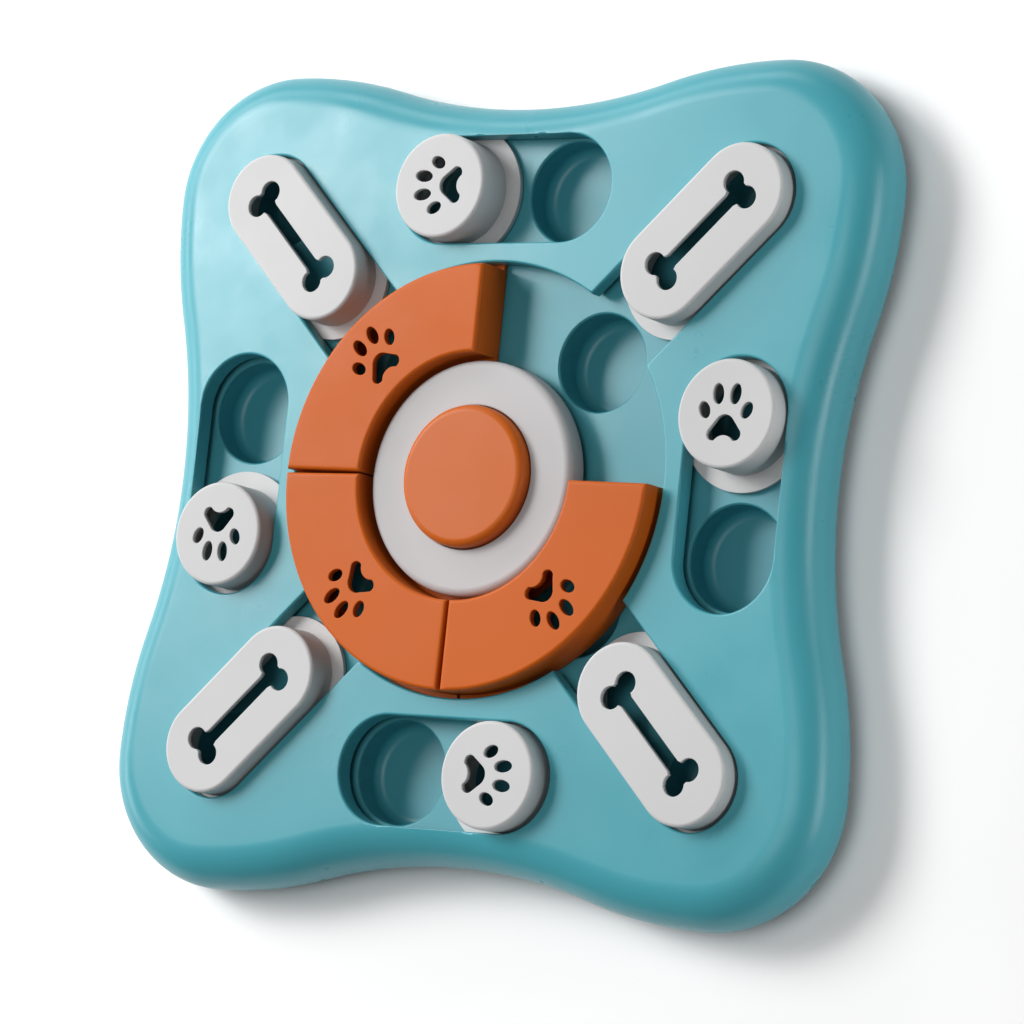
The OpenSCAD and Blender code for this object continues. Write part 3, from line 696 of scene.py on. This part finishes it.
class PUZZLE_OT_paw_caps(bpy.types.Operator):
    """Model the round caps of the side sliders"""
    bl_idname = "puzzle.paw_caps"
    bl_label = "Paw caps"

    def execute(self, context):
        s = context.scene.puzzle_caps
        cap = disc("paw_cap", PAW_R, PAW_FOOT, PAW_TOP, SMOOTH_SIDES)
        soften(cap, PAW_TOP, s.round, 6)
        hollow(cap, s.wall, s.roof, PAW_TOP)
        cut(cap, place(paw_cutter(PAW_TOP - PRINT_REACH, PAW_TOP + PRINT_REACH), turn=math.radians(90)))
        soften(cap, PAW_TOP, s.print_edge, 2)
        for k, side in enumerate(SIDES):
            at = middle("paw_cap_" + side)
            one = place(copy_of(cap, "round_cap_" + side), at.x, at.y, math.radians(-90 * k))
            dress(one, "cap_plastic", "paw_" + side, "paw_cap_" + side)
        bpy.data.objects.remove(cap)
        return {"FINISHED"}


class PUZZLE_OT_bone_caps(bpy.types.Operator):
    """Model the long caps of the diagonal sliders"""
    bl_idname = "puzzle.bone_caps"
    bl_label = "Bone caps"

    def execute(self, context):
        s = context.scene.puzzle_caps
        cap = bar("bone_cap", s.bone_in, s.bone_out, s.bone_r, BONE_FOOT, BONE_TOP, SMOOTH_SIDES)
        soften(cap, BONE_TOP, s.round, 6)
        hollow(cap, s.wall, s.roof, BONE_TOP)
        cut(cap, place(bone_cutter(BONE_TOP - PRINT_REACH, BONE_TOP + PRINT_REACH), (s.bone_in + s.bone_out) / 2))
        soften(cap, BONE_TOP, s.print_edge, 2)
        for k, corner in enumerate(CORNERS):
            one = place(copy_of(cap, "long_cap_" + corner), turn=math.radians(45 + 90 * k))
            dress(one, "cap_plastic", "bone_" + corner, "bone_cap_" + corner)
        bpy.data.objects.remove(cap)
        return {"FINISHED"}


def ring_block(name, r0, r1, z0, z1, start, span, steps):
    """A closed piece of a ring, spun from a flat section."""
    bpy.ops.object.select_all(action="DESELECT")
    bpy.ops.mesh.primitive_plane_add(
        size=1, location=((r0 + r1) / 2, 0, (z0 + z1) / 2), rotation=(math.pi / 2, 0, 0))
    obj = named(bpy.context.object, name)
    obj.scale = (r1 - r0, z1 - z0, 1)
    place(settle(obj), turn=start)
    edit(obj)
    bpy.ops.mesh.select_all(action="SELECT")
    spin(steps, span, (0, 0, 0))
    bpy.ops.mesh.select_all(action="SELECT")
    bpy.ops.mesh.normals_make_consistent(inside=False)
    leave()
    return obj


class PUZZLE_OT_ring_covers(bpy.types.Operator):
    """Model the curved covers that turn in the ring"""
    bl_idname = "puzzle.ring_covers"
    bl_label = "Ring covers"

    def execute(self, context):
        s = context.scene.puzzle_caps
        cover = ring_block("ring_cover", s.arc_in, s.arc_out, ARC_FOOT, ARC_TOP, 0, s.arc_span, 40)
        soften(cover, ARC_TOP, s.round, 6)
        trim = s.wall / s.arc_in
        room = ring_block(
            "room", s.arc_in + s.wall, s.arc_out - s.wall, ARC_FOOT - 1 * MM, ARC_TOP - s.thick_roof,
            trim, s.arc_span - 2 * trim, 40)
        cut(cover, room)
        tool = paw_cutter(ARC_TOP - PRINT_REACH, ARC_TOP + PRINT_REACH)
        place(tool, (s.arc_in + s.arc_out) / 2, 0, math.radians(-90))
        cut(cover, place(tool, turn=s.arc_span / 2))
        soften(cover, ARC_TOP, s.print_edge, 2, lambda e: e.calc_length() < 1.2 * MM)
        for k, corner in enumerate(CORNERS[1:]):
            one = place(copy_of(cover, "ring_cover_" + corner), turn=s.arc_start + s.arc_step * k)
            dress(one, "cover_plastic", "arc_" + corner, "arc_cover_" + corner)
        bpy.data.objects.remove(cover)
        return {"FINISHED"}


class PUZZLE_OT_hub(bpy.types.Operator):
    """Model the hub disc and the squeak button"""
    bl_idname = "puzzle.hub"
    bl_label = "Hub and button"

    def execute(self, context):
        s = context.scene.puzzle_caps
        rim_foot = context.scene.puzzle_shell.ring_lip_z
        hub = disc("hub", HUB_R, rim_foot, HUB_TOP, SMOOTH_SIDES)
        cut(hub, disc("hub_foot", s.hub_foot_r, HUB_FOOT, rim_foot + 1 * MM), "UNION")
        cut(hub, disc("bore", s.bore_r, 0, 1.5 * HUB_TOP, SMOOTH_SIDES))
        halfway = (HUB_R + s.bore_r) / 2
        soften(hub, HUB_TOP, s.hub_round, 6, lambda e: e.verts[0].co.xy.length > halfway)
        soften(hub, HUB_TOP, s.bore_round, 3, lambda e: e.verts[0].co.xy.length < halfway)
        dress(hub, "hub_plastic", "base", "hub_disc")
        button = disc("button", BUTTON_R, BUTTON_FOOT, BUTTON_TOP, SMOOTH_SIDES)
        soften(button, BUTTON_TOP, s.hub_round, 8)
        hollow(button, s.button_wall, s.thick_roof, BUTTON_TOP)
        dress(button, "button_plastic", "button", "squeak_button")
        return {"FINISHED"}


class PUZZLE_OT_bellows(bpy.types.Operator):
    """Model the rubber bellows that the button presses"""
    bl_idname = "puzzle.bellows"
    bl_label = "Bellows"

    def execute(self, context):
        s = context.scene.puzzle_caps
        flange_z = BULB_FOOT + s.bulb_flange
        fold_r = BULB_R - 2 * MM
        fold_h = (BULB_TOP - s.bulb_neck - flange_z) / s.folds
        bellows = disc("bellows", BULB_R, BULB_FOOT, flange_z)
        soften(bellows, flange_z, 0.4 * MM)
        cut(bellows, disc("core", fold_r - s.fold_depth, BULB_FOOT + 0.5 * MM, BULB_TOP), "UNION")
        for k in range(s.folds):
            z0 = flange_z + fold_h * k + s.fold_gap / 2
            z1 = z0 + fold_h - s.fold_gap
            fold = disc("fold", fold_r, z0, z1)
            for z in (z0, z1):
                soften(fold, z, s.fold_round, 4)
            cut(bellows, fold, "UNION")
        dress(bellows, "grey_rubber", "base", "squeak_bulb")
        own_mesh(bellows)
        return {"FINISHED"}


class PUZZLE_OT_frame_parts(bpy.types.Operator):
    """Give the carried-over frame parts their finishes"""
    bl_idname = "puzzle.frame_parts"
    bl_label = "Tray and small parts"

    def execute(self, context):
        look = {
            "lower_tray": "tray_plastic", "body_screws": "screw_zinc", "hub_screws": "screw_zinc",
            "squeak_reed": "guide_plastic", "button_collar": "button_plastic",
        }
        family = {
            "foot": "grey_rubber", "cup": "tray_plastic", "cups": "tray_plastic", "arc_runner": "cover_plastic",
            "paw_guide": "guide_plastic", "bone_guide": "guide_plastic",
        }
        for name, node in NODES.items():
            kind = look.get(name) or next((family[start] for start in family if name.startswith(start + "_")), None)
            if kind:
                node.data.materials.clear()
                node.data.materials.append(finish(kind))
        return {"FINISHED"}


# ---- stage ----

def softbox(name, place_at, aim, size, power, spread=math.pi):
    """A rectangular lamp that points at aim and isn't seen itself."""
    light = bpy.data.lights.new(name, "AREA")
    light.shape = "RECTANGLE"
    light.size, light.size_y = size
    light.energy = power
    light.spread = spread
    obj = bpy.data.objects.new(name, light)
    bpy.context.scene.collection.objects.link(obj)
    obj.location = place_at
    obj.rotation_mode = "QUATERNION"
    obj.rotation_quaternion = (Vector(aim) - Vector(place_at)).to_track_quat("-Z", "Y")
    obj.visible_camera = False


class PUZZLE_OT_stage(bpy.types.Operator):
    """Set the camera, the floor and the soft studio lights"""
    bl_idname = "puzzle.stage"
    bl_label = "Stage"

    def execute(self, context):
        scene = context.scene
        s = scene.puzzle_stage
        aim = Vector((s.aim_x, s.aim_y, FACE_Z))
        back = Vector((math.sin(s.side_turn) * math.cos(s.rise), math.sin(s.rise),
                       math.cos(s.side_turn) * math.cos(s.rise)))
        right = (-back).cross(Vector((0, 1, 0))).normalized()
        up = right.cross(-back)
        turned = math.cos(s.roll) * right + math.sin(s.roll) * up
        risen = -math.sin(s.roll) * right + math.cos(s.roll) * up
        camera = bpy.data.objects.new("camera", bpy.data.cameras.new("camera"))
        scene.collection.objects.link(camera)
        camera.matrix_world = Matrix.Translation(aim + back * s.distance) @ Matrix(
            (turned, risen, back)).transposed().to_4x4()
        camera.data.lens = s.lens
        camera.data.sensor_width = 36
        camera.data.clip_start, camera.data.clip_end = 0.05, 30
        scene.camera = camera

        bpy.ops.object.select_all(action="DESELECT")
        bpy.ops.mesh.primitive_plane_add(size=s.floor)
        floor = named(bpy.context.object, "floor")
        f = Finish("floor_paper")
        f.link(f.blend(f.spread(f.noise(1.5, 2.0), 0.0, 1.0), (0.86, 0.86, 0.86), (0.90, 0.90, 0.90)),
               f.shader.inputs["Base Color"])
        f.shader.inputs["Roughness"].default_value = 0.9
        f.shader.inputs["Specular IOR Level"].default_value = 0.1
        floor.data.materials.append(f.material)

        softbox("key_light", aim + Vector((-1.33, 0.76, 1.30)), aim, (0.75, 0.75), s.key)
        softbox("gleam_light", aim + Vector((-0.92, 0.23, 0.96)), aim, (0.45, 0.45), s.gleam)
        softbox("overhead_light", aim + Vector((0.1, -0.1, 1.8)), aim, (1.0, 1.0), s.overhead)
        softbox("top_light", aim + Vector((-0.75, 1.05, 0.42)), aim, (1.2, 0.35), s.fill)
        softbox("left_light", aim + Vector((-1.3, 0.1, 0.32)), aim, (1.2, 0.3), s.fill)
        softbox("edge_light", aim + Vector((0.25, 0.0, 0.03)), aim, (0.34, 0.04), s.edge, math.radians(70))
        world = bpy.data.worlds.new("sky")
        world.use_nodes = True
        world.node_tree.nodes["Background"].inputs["Color"].default_value = (1, 1, 1, 1)
        world.node_tree.nodes["Background"].inputs["Strength"].default_value = s.sky
        scene.world = world
        scene.view_settings.view_transform = "Standard"
        return {"FINISHED"}


class PUZZLE_PT_panel(bpy.types.Panel):
    """Sidebar panel that lists the steps"""
    bl_idname = "PUZZLE_PT_panel"
    bl_label = "Treat puzzle board"
    bl_space_type = "VIEW_3D"
    bl_region_type = "UI"
    bl_category = "Puzzle"

    def draw(self, context):
        for step in STEPS:
            self.layout.operator(step.bl_idname)
        for group in GROUPS:
            settings = getattr(context.scene, group)
            box = self.layout.box()
            for key in settings.bl_rna.properties.keys():
                if key not in ("rna_type", "name"):
                    box.prop(settings, key)


STEPS = (PUZZLE_OT_stage, PUZZLE_OT_frame_parts, PUZZLE_OT_shell, PUZZLE_OT_paw_caps, PUZZLE_OT_bone_caps,
         PUZZLE_OT_ring_covers, PUZZLE_OT_hub, PUZZLE_OT_bellows)
GROUPS = {"puzzle_shell": PuzzleShell, "puzzle_caps": PuzzleCaps, "puzzle_colours": PuzzleColours,
          "puzzle_stage": PuzzleStage}


def register():
    for cls in (*GROUPS.values(), *STEPS, PUZZLE_PT_panel):
        bpy.utils.register_class(cls)
    for name, cls in GROUPS.items():
        setattr(bpy.types.Scene, name, PointerProperty(type=cls))


def unregister():
    for name in GROUPS:
        delattr(bpy.types.Scene, name)
    for cls in reversed((*GROUPS.values(), *STEPS, PUZZLE_PT_panel)):
        bpy.utils.unregister_class(cls)


def main():
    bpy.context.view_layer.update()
    register()
    for step in STEPS:
        group, name = step.bl_idname.split(".")
        getattr(getattr(bpy.ops, group), name)()


if __name__ == "__main__":
    main()
